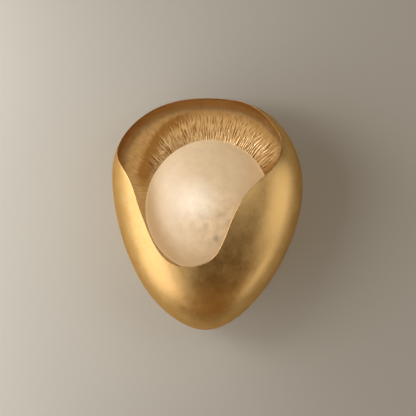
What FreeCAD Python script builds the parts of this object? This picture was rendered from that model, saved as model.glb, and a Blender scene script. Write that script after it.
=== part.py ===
"""Shell wall sconce: a gilded shell folded round an alabaster globe, on a wall pan with a G9 lamp.

Millimetres. Each piece is drawn as seen from the room: X to the right, Y up the wall and Z off the
wall, from the point of the wall that the lamp axis meets. Its Placement then stands it up in the row
frame, where Z is up and the room lies towards -Y.
"""
import FreeCAD, Part

import math
import os

import Sketcher

SIZES = {
    # Outline of the shell: reach of its control points from the lamp axis, at the hours of a clock
    "reach_twelve": 133,
    "reach_one": 141,
    "reach_two": 131,
    "reach_three": 116,
    "reach_four": 112,
    "reach_five": 129,
    "reach_six": 167,
    "reach_seven": 137,
    "reach_eight": 115,
    "reach_nine": 114,
    "reach_ten": 138,
    "reach_eleven": 141,
    # Shell
    "shell_wall": 2.4,
    "bowl_height": 50,
    "dome_height": 80,
    "floor_share": 0.52,
    "lip_round": 0.8,
    "lean_low": 0.25,
    "lean_high": 1.4,
    # Globe and its collar
    "globe_long": 79.2,
    "globe_short": 74.2,
    "globe_half_depth": 57,
    "globe_centre": 83,
    "globe_tilt": 20,
    "globe_wall": 9,
    "globe_bore": 32,
    "foot_depth": 36,
    "cushion_wall": 1,
    "cushion_outer": 41,
    "collar_wall": 2,
    "collar_inner": 30.5,
    "collar_outer": 42,
    "spigot_height": 4,
    "skirt_outer": 38.5,
    "skirt_wall": 2.5,
    "lug_reach": 4.5,
    "lug_height": 2.5,
    "lug_sweep": 30,
    "turn_angle": 36,
    # Bayonet seat
    "seat_outer": 54.5,
    "seat_inner": 36,
    "seat_wall": 2.5,
    "seat_floor": 2,
    "seat_lip": 2.4,
    "lug_space": 3,
    "seat_play": 1,
    # Wall pan
    "pan_radius": 57,
    "pan_height": 18,
    "pan_wall": 1.2,
    "pan_round": 3,
    "wall_clear": 0.5,
    "fixing_circle": 50.5,
    # Wall bracket
    "strap_wall": 2,
    "strap_width": 24,
    "strap_half": 53,
    "strap_bend": 2.5,
    "ear_height": 13,
    "ear_width": 16,
    "ear_collar": 3.4,
    "ear_collar_reach": 2.5,
    "cable_hole": 7,
    "box_screw_near": 34.925,
    "box_screw_far": 44.45,
    "box_screw_slot": 2.5,
    "ground_place": 20,
    # Thumb screws
    "thumb_height": 8.5,
    "thumb_radius": 5,
    "thumb_length": 7,
    "thumb_flutes": 12,
    "flute_radius": 0.6,
    "flute_start": 1,
    # Screws: shank radius, head radius, head height and nut
    "big_shank": 2,
    "big_head": 3.6,
    "big_head_height": 2.4,
    "big_nut": 3.8,
    "big_nut_height": 3.2,
    "washer_radius": 4,
    "washer_wall": 0.8,
    "small_shank": 1.5,
    "small_head": 2.8,
    "small_head_height": 1.8,
    "small_nut": 3.1,
    "small_nut_height": 2.4,
    "drive_slot": 0.8,
    "screw_end": 1,
    # Wire bush and terminal block
    "bush_bore": 5.5,
    "bush_neck": 8,
    "bush_flange": 10.5,
    "bush_wall": 1.5,
    "block_length": 27,
    "block_width": 14,
    "block_height": 9,
    "block_place": 28,
    "block_ways": 3,
    "block_entry": 2,
    "block_entry_level": 5.4,
    "block_well": 5.4,
    "block_screw": 1.9,
    "block_screw_height": 3,
    # Socket bridge and lamp socket
    "bridge_wall": 1.2,
    "bridge_width": 14,
    "bridge_half": 17,
    "bridge_foot": 10,
    "bridge_top": 28,
    "socket_flange": 4,
    "socket_half": 17,
    "socket_depth": 14,
    "tower_half": 10,
    "tower_inset": 0.5,
    "tower_height": 17,
    "socket_round": 3,
    "socket_screw_place": 14,
    "pin_pitch": 9,
    "pin_slot_wide": 3.2,
    "pin_slot_long": 5,
    "pin_slot_deep": 12,
    "contact_wall": 0.5,
    "contact_length": 10,
    "reflector_radius": 29.5,
    "reflector_wall": 0.8,
    "reflector_hole": 12.6,
    # Bulb
    "pin_thick": 0.8,
    "pin_wide": 2.4,
    "pin_length": 9,
    "base_radius": 7.4,
    "base_height": 13,
    "base_edge": 1,
    "base_shoulder": 3,
    "base_neck_wall": 1.5,
    "envelope_radius": 8.5,
    "envelope_wall": 0.9,
    "envelope_length": 40,
    "envelope_sleeve": 2,
    "core_radius": 4,
    "core_length": 32,
    "cap_radius": 2.8,
    "cap_height": 1,
    # How far a cutting tool runs past what it cuts, and a length past the whole part
    "overcut": 1,
    "through": 300,
    # Room left between pieces
    "fit": 0.1,
    "free_gap": 0.3,
}

# Control points of the edge of the shell's opening, clockwise from where the fold comes nearest
# to the lamp axis: clock angle, reach from the lamp axis and height off the wall
OPENING = {
    "fold": (103, 31, 147), "low_right": (162, 52, 145), "foot": (180, 71, 143),
    "low_left": (215, 89, 132), "left_low": (257, 77, 133), "left": (272, 84, 132),
    "left_high": (292, 98, 125), "left_corner": (298, 127, 94), "brow_left": (312, 136, 72),
    "crown_left": (331, 137, 66), "crown": (350, 125, 66), "crown_right": (12, 141, 67),
    "brow_right": (29, 118, 90), "right_corner": (48, 117, 101), "right_high": (60, 95, 127),
    "right": (66, 54, 144),
}
HOURS = ("twelve", "one", "two", "three", "four", "five",
         "six", "seven", "eight", "nine", "ten", "eleven")
# Roundness of the bowl behind the widest section and of the dome before it: 2 is an ellipse
BOWL_POWER = 2.2
DOME_POWER = 2.5
BOWL_RINGS = 5
DOME_RINGS = 6
# Part of the quarter turn that the dome's last ring reaches; the opening takes away the rest
DOME_REACH = 0.9
# Levels of the opening's cutter and of the lowest part of its lip, as parts of the heights of
# the bowl and the dome
CUTTER_BACK = 0.64
CUTTER_FRONT = 1.125
LIP_BACK = 0.7
# Angles in degrees of the three fixing screws, and the spacing and margin of the bayonet's three lugs
FIXING_ANGLES = (30, 150, 270)
LUGS = 3
LUG_ANGLE = 360 / LUGS
WAY_MARGIN = 2
# Two places closer than this are the same
TOUCH = 0.01

doc = FreeCAD.newDocument("shell_wall_sconce")
sheet = doc.addObject("Spreadsheet::Sheet", "sizes")
STAND = FreeCAD.Placement(FreeCAD.Vector(), FreeCAD.Rotation(FreeCAD.Vector(1, 0, 0), 90))
nodes = []


class Size:
    """A length with the sheet formula that gives it."""

    def __init__(self, value, formula=None):
        self.value = value
        self.formula = formula or f"{value}"

    def join(self, other, value, sign):
        return Size(value, f"({self.formula} {sign} {other.formula})")

    def __add__(self, other):
        other = as_size(other)
        return self.join(other, self.value + other.value, "+")

    def __sub__(self, other):
        other = as_size(other)
        return self.join(other, self.value - other.value, "-")

    def __mul__(self, other):
        other = as_size(other)
        return self.join(other, self.value * other.value, "*")

    def __truediv__(self, other):
        other = as_size(other)
        return self.join(other, self.value / other.value, "/")

    def __neg__(self):
        return self * -1


def as_size(number):
    return number if isinstance(number, Size) else Size(number)


def fill_sheet():
    """Write each driving size into the sheet under its own alias."""
    rows = dict(SIZES)
    for name, (_, reach, height) in OPENING.items():
        rows[f"{name}_reach"] = reach
        rows[f"{name}_height"] = height
    for row, (name, value) in enumerate(rows.items(), start=1):
        sheet.set(f"A{row}", name)
        sheet.set(f"B{row}", str(value))
        sheet.setAlias(f"B{row}", name)
    doc.recompute()


def size(name):
    return Size(float(sheet.get(name)), f"sizes.{name}")


def turned(reach, angle):
    """Across and up of a point at a reach and an angle in degrees from the X axis."""
    turn = math.radians(angle)
    across = Size(reach.value * math.cos(turn), f"({reach.formula} * cos({angle} deg))")
    up = Size(reach.value * math.sin(turn), f"({reach.formula} * sin({angle} deg))")
    return across, up


def bind(item, field, amount):
    item.setExpression(field, as_size(amount).formula)


def keep(item, label):
    """Name a finished piece, stand it up in the row frame and list it for export."""
    item.Label = label
    item.Placement = STAND
    nodes.append(item)
    return item


# Sketch helpers


def new_body(name):
    return doc.addObject("PartDesign::Body", f"{name}_body")


def sketch_in(body, role, name, lift=None):
    """A sketch on one of the body's own planes, lifted along the plane's normal."""
    sketch = body.newObject("Sketcher::SketchObject", name)
    plane = next(item for item in body.Origin.OriginFeatures if item.Role == role)
    sketch.AttachmentSupport = [(plane, "")]
    sketch.MapMode = "FlatFace"
    if lift is not None:
        bind(sketch, "AttachmentOffset.Base.z", lift)
    return sketch


def pin(sketch, line, end, across, up):
    """Hold a point of the sketch at a place across and up from its origin."""
    for kind, axis, amount in (("DistanceX", -2, across), ("DistanceY", -1, up)):
        amount = as_size(amount)
        if amount.formula == "0":
            sketch.addConstraint(Sketcher.Constraint("PointOnObject", line, end, axis))
            continue
        index = sketch.addConstraint(Sketcher.Constraint(kind, -1, 1, line, end, amount.value))
        bind(sketch, f"Constraints[{index}]", amount)


def polygon(sketch, corners):
    """A closed outline of straight lines, each corner held by two sizes."""
    places = [(as_size(x), as_size(y)) for x, y in corners]
    points = [FreeCAD.Vector(x.value, y.value, 0) for x, y in places]
    lines = []
    for start, end in zip(points, points[1:] + points[:1]):
        lines.append(sketch.addGeometry(Part.LineSegment(start, end), False))
    for line, following in zip(lines, lines[1:] + lines[:1]):
        sketch.addConstraint(Sketcher.Constraint("Coincident", line, 2, following, 1))
    for line, (across, up) in zip(lines, places):
        pin(sketch, line, 1, across, up)


def rectangle(sketch, across, up, wide, tall):
    """A rectangle round its centre."""
    across, up, wide, tall = (as_size(item) for item in (across, up, wide, tall))
    polygon(sketch, [
        (across - wide / 2, up - tall / 2), (across + wide / 2, up - tall / 2),
        (across + wide / 2, up + tall / 2), (across - wide / 2, up + tall / 2),
    ])


def circle(sketch, across, up, radius):
    across, up, radius = as_size(across), as_size(up), as_size(radius)
    centre = FreeCAD.Vector(across.value, up.value, 0)
    ring = sketch.addGeometry(Part.Circle(centre, FreeCAD.Vector(0, 0, 1), radius.value), False)
    pin(sketch, ring, 3, across, up)
    index = sketch.addConstraint(Sketcher.Constraint("Radius", ring, radius.value))
    bind(sketch, f"Constraints[{index}]", radius)


def slot(sketch, near, far, radius):
    """A slot along X, from one end's centre to the other's, on the X axis."""
    side = radius.value
    start, end = FreeCAD.Vector(near.value, 0, 0), FreeCAD.Vector(far.value, 0, 0)
    up = FreeCAD.Vector(0, side, 0)
    axis = FreeCAD.Vector(0, 0, 1)
    quarter = math.pi / 2
    left = sketch.addGeometry(Part.ArcOfCircle(Part.Circle(start, axis, side), quarter, 3 * quarter))
    right = sketch.addGeometry(Part.ArcOfCircle(Part.Circle(end, axis, side), -quarter, quarter))
    top = sketch.addGeometry(Part.LineSegment(end + up, start + up))
    bottom = sketch.addGeometry(Part.LineSegment(start - up, end - up))
    for one, one_end, other, other_end in (
        (right, 2, top, 1), (top, 2, left, 1), (left, 2, bottom, 1), (bottom, 2, right, 1),
    ):
        sketch.addConstraint(Sketcher.Constraint("Tangent", one, one_end, other, other_end))
    sketch.addConstraint(Sketcher.Constraint("Equal", left, right))
    pin(sketch, left, 3, near, 0)
    pin(sketch, right, 3, far, 0)
    index = sketch.addConstraint(Sketcher.Constraint("Radius", left, side))
    bind(sketch, f"Constraints[{index}]", radius)


def spline(sketch, poles):
    """A closed smooth curve whose control points are held by two sizes each."""
    points = [FreeCAD.Vector(x.value, y.value, 0) for x, y in poles]
    curve = Part.BSplineCurve()
    knots = list(range(len(points) + 1))
    curve.buildFromPolesMultsKnots(points, [1] * len(knots), knots, True, 3)
    line = sketch.addGeometry(curve, False)
    weights = []
    for number, (point, (across, up)) in enumerate(zip(points, poles)):
        weight = Part.Circle(point, FreeCAD.Vector(0, 0, 1), 1)
        weights.append(sketch.addGeometry(weight, True))
        kind = "InternalAlignment:Sketcher::BSplineControlPoint"
        sketch.addConstraint(Sketcher.Constraint(kind, weights[-1], 3, line, number))
        if number:
            sketch.addConstraint(Sketcher.Constraint("Equal", weights[0], weights[-1]))
        else:
            sketch.addConstraint(Sketcher.Constraint("Radius", weights[0], 1))
        pin(sketch, weights[-1], 3, across, up)


# Feature helpers


def pad(body, sketch, height, both_ways=False):
    item = body.newObject("PartDesign::Pad", f"{sketch.Name}_pad")
    item.Profile = sketch
    item.Midplane = both_ways
    bind(item, "Length", height)
    return item


def pocket(body, sketch, depth=None, backwards=False, both_ways=False):
    """A pocket of a depth, or right through."""
    item = body.newObject("PartDesign::Pocket", f"{sketch.Name}_pocket")
    item.Profile = sketch
    item.Reversed = backwards
    item.Midplane = both_ways
    if depth is None:
        item.Type = "ThroughAll"
    else:
        bind(item, "Length", depth)
    return item


def revolve(body, sketch):
    """A turn of the sketch round its own upright axis."""
    item = body.newObject("PartDesign::Revolution", f"{sketch.Name}_turn")
    item.Profile = sketch
    item.ReferenceAxis = (sketch, ["V_Axis"])
    item.Angle = 360
    return item


def round_edges(body, base, radius, test):
    """Fillet of the edges that a test picks."""
    doc.recompute()
    names = [f"Edge{i}" for i, edge in enumerate(base.Shape.Edges, start=1) if test(edge)]
    item = body.newObject("PartDesign::Fillet", f"{base.Name}_round")
    item.Base = (base, names)
    bind(item, "Radius", radius)
    return item


def rod(name, radius, low, high, across=0, up=0, sweep=None, start=None):
    """A round bar along Z, or a slice of one."""
    item = doc.addObject("Part::Cylinder", name)
    bind(item, "Radius", radius)
    bind(item, "Height", as_size(high) - low)
    bind(item, "Placement.Base.x", across)
    bind(item, "Placement.Base.y", up)
    bind(item, "Placement.Base.z", low)
    if sweep is not None:
        bind(item, "Angle", sweep)
        item.Placement.Rotation = FreeCAD.Rotation(FreeCAD.Vector(0, 0, 1), 0)
        bind(item, "Placement.Rotation.Angle", start)
    return item


def block(name, low, high):
    """A box between two corners, each given as X, Y and Z."""
    item = doc.addObject("Part::Box", name)
    for side, axis, start, end in zip(("Length", "Width", "Height"), "xyz", low, high):
        bind(item, side, as_size(end) - start)
        bind(item, f"Placement.Base.{axis}", start)
    return item


def cut(name, base, tool):
    item = doc.addObject("Part::Cut", name)
    item.Base = base
    item.Tool = tool
    return item


def fuse(name, pieces):
    item = doc.addObject("Part::MultiFuse", name)
    item.Shapes = pieces
    return item


def group(name, pieces):
    """Separate solids of one node."""
    item = doc.addObject("Part::Compound", name)
    item.Links = pieces
    return item


def hexagon(name, radius, low, high, across, up):
    """A nut's body along Z; the radius is the one across its corners."""
    item = doc.addObject("Part::Prism", name)
    item.Polygon = 6
    bind(item, "Circumradius", radius)
    bind(item, "Height", as_size(high) - low)
    bind(item, "Placement.Base.x", across)
    bind(item, "Placement.Base.y", up)
    bind(item, "Placement.Base.z", low)
    return item


def screw(name, shank, head, head_height, seat, tip, across, up):
    """A slotted screw along Z: its head sits on the seat level and its shank goes down to the tip."""
    top = seat + head_height
    bar = fuse(f"{name}_bar", [
        rod(f"{name}_head", head, seat, top, across, up),
        rod(f"{name}_shank", shank - size("fit"), tip, seat, across, up),
    ])
    half_slot = size("drive_slot") / 2
    drive = block(
        f"{name}_slot",
        (across - head, up - half_slot, top - head_height / 2),
        (across + head, up + half_slot, top + size("fit")),
    )
    return cut(name, bar, drive)


def nut(name, radius, shank, low, high, across, up):
    """A hexagon nut round a shank."""
    body = hexagon(f"{name}_hexagon", radius, low, high, across, up)
    return cut(name, body, rod(f"{name}_thread", shank, low, high, across, up))


# Shell


def outline_poles(inset):
    """Control points of the shell's widest section, drawn in by an inset."""
    poles = []
    for hour, name in enumerate(HOURS):
        reach = size(f"reach_{name}") - inset
        poles.append(turned(reach, 90 - 360 / len(HOURS) * hour))
    return poles


def ring_shares():
    """Share of the outline and height off the widest section of each ring, from floor to front."""
    rings = []
    for step in range(BOWL_RINGS):
        turn = math.pi / 2 * step / BOWL_RINGS
        growth = math.sin(turn) ** (2 / BOWL_POWER)
        share = size("floor_share") + (Size(1) - size("floor_share")) * round(growth, 5)
        rings.append((share, round(-math.cos(turn) ** (2 / BOWL_POWER), 5)))
    for step in range(DOME_RINGS + 1):
        turn = math.pi / 2 * DOME_REACH * step / DOME_RINGS
        share = Size(round(math.cos(turn) ** (2 / DOME_POWER), 5))
        rings.append((share, round(math.sin(turn) ** (2 / DOME_POWER), 5)))
    return rings


def skin(name, inset):
    """One skin of the shell: scaled copies of the outline, stacked off the wall and lofted."""
    outline = doc.addObject("Sketcher::SketchObject", f"{name}_outline")
    spline(outline, outline_poles(inset))
    equator = size("pan_height") + size("bowl_height")
    sections = []
    for number, (share, height) in enumerate(ring_shares()):
        section = doc.addObject("Part::Scale", f"{name}_ring_{number}")
        section.Base = outline
        section.Uniform = True
        bind(section, "UniformScale", share)
        full = size("bowl_height") if height < 0 else size("dome_height")
        bind(section, "Placement.Base.z", equator + (full - inset) * height)
        sections.append(section)
    loft = doc.addObject("Part::Loft", name)
    loft.Sections = sections
    loft.Solid = True
    loft.MaxDegree = 3
    return loft


def opening_curve(name, level):
    """The opening's outline at a level off the wall, widening towards the room."""
    front = size("pan_height") + size("bowl_height") + size("dome_height")
    poles = []
    low = size("lean_low")
    for name, (angle, _, _) in OPENING.items():
        height = size(f"{name}_height")
        lean = low + (size("lean_high") - low) * (front - height) / size("dome_height")
        poles.append(turned((level - height) * lean + size(f"{name}_reach"), 90 - angle))
    sketch = doc.addObject("Sketcher::SketchObject", name)
    spline(sketch, poles)
    bind(sketch, "Placement.Base.z", level)
    return sketch


def opening_tool():
    """The solid that cuts the mouth out of the dome, square to the wall of the shell."""
    behind = size("pan_height") + size("bowl_height") * CUTTER_BACK
    before = size("pan_height") + size("bowl_height") + size("dome_height") * CUTTER_FRONT
    tool = doc.addObject("Part::Loft", "opening_tool")
    tool.Sections = [opening_curve("opening_back", behind), opening_curve("opening_front", before)]
    tool.Solid = True
    tool.Ruled = True
    return tool


def fixing_places():
    """Places of the three fixing screws round the lamp axis."""
    return [turned(size("fixing_circle"), angle) for angle in FIXING_ANGLES]


def bridge_screw_places():
    foot = size("bridge_half") + size("bridge_foot") / 2
    return [(foot * side, Size(0)) for side in (-1, 1)]


def floor_holes(name, low, high):
    """Rods for the holes that the shell's floor and the pan's face share."""
    rods = [rod(f"{name}_bush_hole", size("bush_neck") + size("fit"), low, high)]
    for number, (across, up) in enumerate(fixing_places()):
        radius = size("big_shank") + size("fit")
        rods.append(rod(f"{name}_fixing_hole_{number}", radius, low, high, across, up))
    for number, (across, up) in enumerate(bridge_screw_places()):
        radius = size("small_shank") + size("fit")
        rods.append(rod(f"{name}_bridge_hole_{number}", radius, low, high, across, up))
    return fuse(f"{name}_holes", rods)


def make_shell():
    """The folded shell: two skins, the mouth with its rounded lip, and the holes in its floor."""
    hollow = cut("shell_hollow", skin("outer_skin", Size(0)), skin("inner_skin", size("shell_wall")))
    mouth = cut("shell_mouth", hollow, opening_tool())
    floor_top = size("pan_height") + size("shell_wall")
    tools = floor_holes("shell", size("pan_height") - size("overcut"), floor_top + size("overcut"))
    drilled = cut("shell_drilled", mouth, tools)
    doc.recompute()
    lip = doc.addObject("Part::Fillet", "shell_lip")
    lip.Base = drilled
    lip.Edges = [
        (number, SIZES["lip_round"], SIZES["lip_round"])
        for number, edge in enumerate(drilled.Shape.Edges, start=1) if on_lip(edge)
    ]
    return keep(lip, "shell")


def on_lip(edge):
    """Whether an edge runs along the mouth, and not down the bowl or across the wall."""
    behind = size("pan_height") + size("bowl_height") * LIP_BACK
    return edge.BoundBox.ZMin > behind.value and edge.Length > 2 * SIZES["shell_wall"]


# Globe, collar and bayonet seat


def ellipsoid(name, shrink):
    item = doc.addObject("Part::Ellipsoid", name)
    bind(item, "Radius1", size("globe_half_depth") - shrink)
    bind(item, "Radius2", size("globe_short") - shrink)
    bind(item, "Radius3", size("globe_long") - shrink)
    bind(item, "Placement.Base.z", size("globe_centre"))
    item.Placement.Rotation = FreeCAD.Rotation(FreeCAD.Vector(0, 0, -1), 1)
    bind(item, "Placement.Rotation.Angle", size("globe_tilt"))
    return item


def make_globe():
    """The alabaster globe: a hollow ellipsoid with a flat foot and a bore for the lamp."""
    solid = ellipsoid("globe_outside", Size(0))
    hollow = ellipsoid("globe_inside", size("globe_wall"))
    behind = size("globe_centre") - size("globe_half_depth") - size("overcut")
    foot = rod("globe_foot_cut", size("globe_long"), behind, size("foot_depth"))
    bore = rod("globe_bore_cut", size("globe_bore"), behind, size("globe_centre"))
    return keep(cut("globe_piece", solid, fuse("globe_cuts", [hollow, foot, bore])), "globe")


def collar_levels():
    """Bottom of the lugs and of the flange, and top of the flange, off the wall."""
    top = size("foot_depth") - size("cushion_wall")
    flange = top - size("collar_wall")
    lugs = size("pan_height") + size("shell_wall") + size("seat_floor") + size("lug_space")
    return lugs, flange, top


def make_cushion():
    """The silicone ring between the stone and the collar."""
    top = size("foot_depth")
    low = top - size("cushion_wall")
    ring = rod("cushion_disc", size("cushion_outer"), low, top)
    hole = rod("cushion_hole", size("globe_bore"), low, top)
    return keep(cut("cushion_piece", ring, hole), "globe_cushion")


def make_collar():
    """The turned collar bonded to the globe's foot: a spigot in the bore, a flange and a skirt with lugs."""
    lugs, flange, top = collar_levels()
    inner = size("collar_inner")
    spigot = size("globe_bore") - size("free_gap")
    spigot_top = top + size("cushion_wall") + size("spigot_height")
    outer = size("collar_outer")
    skirt = size("skirt_outer")
    body = new_body("collar")
    sketch = sketch_in(body, "XZ_Plane", "collar_profile")
    polygon(sketch, [
        (inner, flange), (skirt - size("skirt_wall"), flange), (skirt - size("skirt_wall"), lugs),
        (skirt, lugs), (skirt, flange), (outer, flange), (outer, top), (spigot, top),
        (spigot, spigot_top), (inner, spigot_top),
    ])
    revolve(body, sketch)
    slices = []
    for number in range(LUGS):
        slices.append(rod(
            f"lug_slice_{number}", skirt + size("lug_reach"), lugs, lugs + size("lug_height"),
            sweep=size("lug_sweep"), start=LUG_ANGLE * number,
        ))
    core = rod("lug_core", skirt - size("skirt_wall") / 2, lugs, flange)
    ring = cut("lug_ring", fuse("lug_slices", slices), core)
    return keep(fuse("collar_piece", [body, ring]), "globe_collar")


def make_seat():
    """The bayonet seat: a flanged ring whose lip holds the collar's lugs, with three ways in."""
    lugs, _, _ = collar_levels()
    floor = size("pan_height") + size("shell_wall")
    wall_inner = size("skirt_outer") + size("lug_reach") + size("seat_play")
    wall_outer = wall_inner + size("seat_wall")
    lip_inner = size("skirt_outer") + size("seat_play")
    lip_low = lugs + size("lug_height") + size("free_gap")
    lip_top = lip_low + size("seat_lip")
    body = new_body("seat")
    sketch = sketch_in(body, "XZ_Plane", "seat_profile")
    polygon(sketch, [
        (size("seat_inner"), floor), (size("seat_outer"), floor),
        (size("seat_outer"), floor + size("seat_floor")), (wall_outer, floor + size("seat_floor")),
        (wall_outer, lip_top), (lip_inner, lip_top), (lip_inner, lip_low), (wall_inner, lip_low),
        (wall_inner, floor + size("seat_floor")), (size("seat_inner"), floor + size("seat_floor")),
    ])
    revolve(body, sketch)
    ways, stops = [], []
    stop_sweep = Size(LUG_ANGLE - 1.5 * WAY_MARGIN) - size("turn_angle") - size("lug_sweep")
    for number in range(LUGS):
        way_start = size("turn_angle") + LUG_ANGLE * number
        ways.append(rod(
            f"way_slice_{number}", wall_inner, lip_low, lip_top,
            sweep=size("lug_sweep") + 2 * WAY_MARGIN, start=way_start - WAY_MARGIN,
        ))
        stops.append(rod(
            f"stop_slice_{number}", wall_inner + size("seat_wall") / 2,
            floor + size("seat_floor") / 2, lip_low + size("seat_lip") / 2,
            sweep=stop_sweep, start=way_start + size("lug_sweep") + WAY_MARGIN,
        ))
    core = rod("stop_core", lip_inner, floor, lip_top)
    hole = size("big_shank") + size("fit")
    holes = [
        rod(f"seat_hole_{number}", hole, floor, floor + size("seat_floor"), across, up)
        for number, (across, up) in enumerate(fixing_places())
    ]
    ring = fuse("seat_ring", [body, cut("seat_stops", fuse("stop_slices", stops), core)])
    return keep(cut("seat_piece", ring, fuse("seat_cuts", ways + holes)), "globe_seat")


# Pan, bush and terminal block


def make_pan():
    """The spun wall pan, with open notches in its rim for the thumb screws."""
    face = size("pan_height")
    inner = size("pan_radius") - size("pan_wall")
    body = new_body("pan")
    sketch = sketch_in(body, "XZ_Plane", "pan_profile")
    hole = size("bush_neck") + size("fit")
    polygon(sketch, [
        (hole, face - size("pan_wall")), (inner, face - size("pan_wall")), (inner, size("wall_clear")),
        (size("pan_radius"), size("wall_clear")), (size("pan_radius"), face), (hole, face),
    ])
    turn = revolve(body, sketch)
    round_edges(body, turn, size("pan_round"), lambda edge:
                abs(edge.BoundBox.ZMin - face.value) < TOUCH
                and edge.BoundBox.XLength > size("pan_radius").value)
    notch = sketch_in(body, "YZ_Plane", "pan_notch")
    half = size("big_shank") + size("free_gap")
    top = size("thumb_height") + half
    polygon(notch, [(-half, Size(0)), (half, Size(0)), (half, top), (-half, top)])
    pocket(body, notch, size("through"), both_ways=True)
    low = face - size("pan_wall") - size("overcut")
    drilled = cut("pan_piece", body, floor_holes("pan", low, face + size("overcut")))
    return keep(drilled, "back_pan")


def make_bush():
    """The bush that guards the lamp wires through the pan and the shell's floor."""
    low = size("pan_height") - size("pan_wall")
    top = size("pan_height") + size("shell_wall") + size("bush_wall")
    bore = size("bush_bore")
    neck = size("bush_neck")
    body = new_body("bush")
    sketch = sketch_in(body, "XZ_Plane", "bush_profile")
    polygon(sketch, [
        (bore, low - size("bush_wall")), (size("bush_flange"), low - size("bush_wall")),
        (size("bush_flange"), low), (neck, low), (neck, top), (bore, top),
    ])
    revolve(body, sketch)
    return keep(body, "wire_bush")


def block_ways():
    """Distance across of each way of the terminal block from its middle."""
    pitch = size("block_length") / SIZES["block_ways"]
    return [pitch * (way - (SIZES["block_ways"] - 1) / 2) for way in range(SIZES["block_ways"])]


def make_terminal_block():
    """The three-way terminal block under the pan's face, with its wire entries and screw wells."""
    top = size("pan_height") - size("pan_wall")
    low = top - size("block_height")
    body = new_body("terminal")
    outline = sketch_in(body, "XY_Plane", "terminal_outline", low)
    rectangle(outline, Size(0), size("block_place"), size("block_length"), size("block_width"))
    pad(body, outline, size("block_height"))
    entries = sketch_in(body, "XZ_Plane", "terminal_entries")
    wells = sketch_in(body, "XY_Plane", "terminal_wells", low)
    for way in block_ways():
        circle(entries, way, low + size("block_entry_level"), size("block_entry"))
        circle(wells, way, size("block_place"), size("block_screw") + size("fit"))
    pocket(body, entries, size("through"), both_ways=True)
    pocket(body, wells, size("block_well"), backwards=True)
    return keep(body, "terminal_block")


def make_terminal_screws():
    """The wire screws of the terminal block, facing the wall."""
    low = size("pan_height") - size("pan_wall") - size("block_height") + size("fit")
    screws = []
    for number, way in enumerate(block_ways()):
        bar = rod(f"wire_screw_{number}", size("block_screw"), low, low + size("block_screw_height"),
                  way, size("block_place"))
        half_slot = size("drive_slot") / 2
        drive = block(
            f"wire_screw_slot_{number}",
            (way - size("block_screw"), size("block_place") - half_slot, low - size("overcut")),
            (way + size("block_screw"), size("block_place") + half_slot, low + size("drive_slot")),
        )
        screws.append(cut(f"wire_screw_cut_{number}", bar, drive))
    return keep(group("terminal_screw_group", screws), "terminal_screws")


# Fixings of the fixture


def make_fixings():
    """The three screws, washers and nuts that clamp the seat, the shell and the pan together."""
    seat_top = size("pan_height") + size("shell_wall") + size("seat_floor")
    under = size("pan_height") - size("pan_wall")
    screws, washers, nuts = [], [], []
    for number, (across, up) in enumerate(fixing_places()):
        washer_top = seat_top + size("washer_wall")
        ring = rod(f"washer_disc_{number}", size("washer_radius"), seat_top, washer_top, across, up)
        hole = rod(f"washer_hole_{number}", size("big_shank"), seat_top, washer_top, across, up)
        washers.append(cut(f"washer_{number}", ring, hole))
        nut_low = under - size("big_nut_height")
        nuts.append(nut(
            f"big_nut_{number}", size("big_nut"), size("big_shank"), nut_low, under, across, up,
        ))
        screws.append(screw(
            f"seat_screw_{number}", size("big_shank"), size("big_head"), size("big_head_height"),
            washer_top, nut_low - size("screw_end"), across, up,
        ))
    keep(group("seat_screw_group", screws), "seat_screws")
    keep(group("washer_group", washers), "seat_washers")
    keep(group("nut_group", nuts), "seat_nuts")


def make_bridge():
    """The bent steel bridge that carries the lamp socket over the wire bush."""
    floor = size("pan_height") + size("shell_wall")
    wall = size("bridge_wall")
    half = size("bridge_half")
    toe = half + size("bridge_foot")
    top = size("bridge_top")
    body = new_body("bridge")
    sketch = sketch_in(body, "XZ_Plane", "bridge_profile")
    polygon(sketch, [
        (-toe, floor), (-half + wall, floor), (-half + wall, top - wall), (half - wall, top - wall),
        (half - wall, floor), (toe, floor), (toe, floor + wall), (half, floor + wall), (half, top),
        (-half, top), (-half, floor + wall), (-toe, floor + wall),
    ])
    pad(body, sketch, size("bridge_width"), both_ways=True)
    holes = sketch_in(body, "XY_Plane", "bridge_holes")
    for across, up in bridge_screw_places():
        circle(holes, across, up, size("small_shank") + size("fit"))
    for side in (-1, 1):
        circle(holes, size("socket_screw_place") * side, Size(0), size("small_shank") + size("fit"))
    pocket(body, holes, backwards=True)
    return keep(body, "socket_bridge")


def make_bridge_fixings():
    """The two screws and nuts of the bridge's feet."""
    seat = size("pan_height") + size("shell_wall") + size("bridge_wall")
    under = size("pan_height") - size("pan_wall")
    low = under - size("small_nut_height")
    screws, nuts = [], []
    for number, (across, up) in enumerate(bridge_screw_places()):
        nuts.append(nut(
            f"small_nut_{number}", size("small_nut"), size("small_shank"), low, under, across, up,
        ))
        screws.append(screw(
            f"bridge_screw_{number}", size("small_shank"), size("small_head"),
            size("small_head_height"), seat, low - size("screw_end"), across, up,
        ))
    keep(group("bridge_screw_group", screws), "bridge_screws")
    keep(group("small_nut_group", nuts), "bridge_nuts")


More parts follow.
